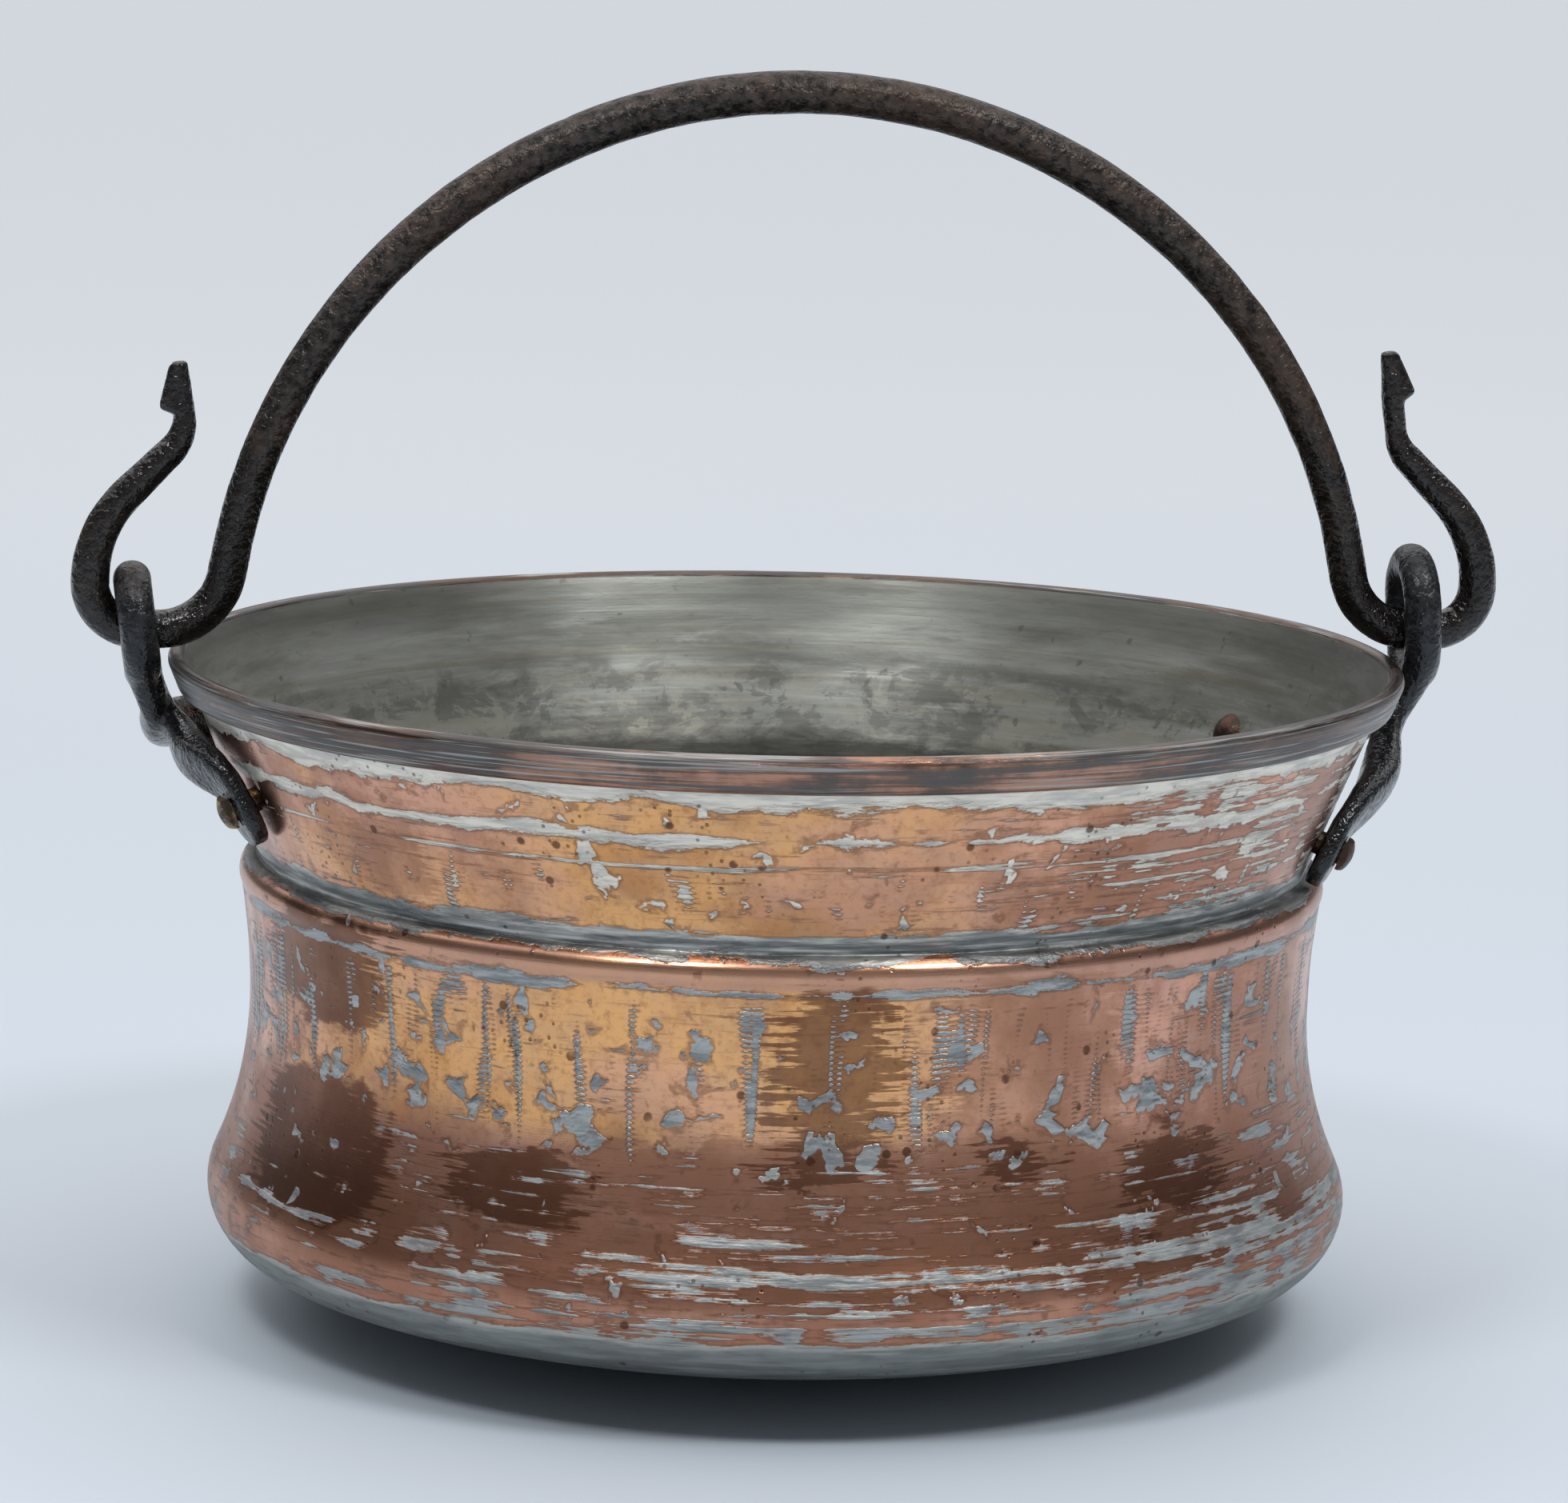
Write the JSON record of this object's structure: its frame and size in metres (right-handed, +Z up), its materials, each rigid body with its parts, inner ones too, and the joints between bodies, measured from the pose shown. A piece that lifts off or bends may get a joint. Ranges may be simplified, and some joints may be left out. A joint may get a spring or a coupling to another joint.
{
  "type": "copper cauldron with swinging bail",
  "caption": "Wide copper cauldron with a hooped rim, waisted body and shoulder bead, riveted iron ears and a swinging iron bail with snake-head hooks.",
  "frame": {"origin": "centre of the flat patch under the vessel, on the floor", "axes": "+Z up along the vessel's axis, +X along the bail's hinge line toward the right ear, -Y toward the front"},
  "size_m": [0.4186, 0.36, 0.363],
  "materials": {
    "copper": "worn polished copper with remains of tin",
    "iron": "dark forged iron",
    "rivet": "hammered and worn"
  },
  "bodies": {
    "cauldron": {"vessel": "copper", "rim_hoop": "iron", "left_ear": "iron", "right_ear": "iron", "left_front_rivet": "rivet", "left_back_rivet": "rivet", "right_front_rivet": "rivet", "right_back_rivet": "rivet"},
    "bail": {"bail": "iron"}
  },
  "joints": [
    {"name": "bail_swing", "type": "hinge", "parent": "cauldron", "child": "bail", "pos_m": [0, 0, 0.2006], "axis": [1, 0, 0], "range_deg": [-95, 95]}
  ]
}
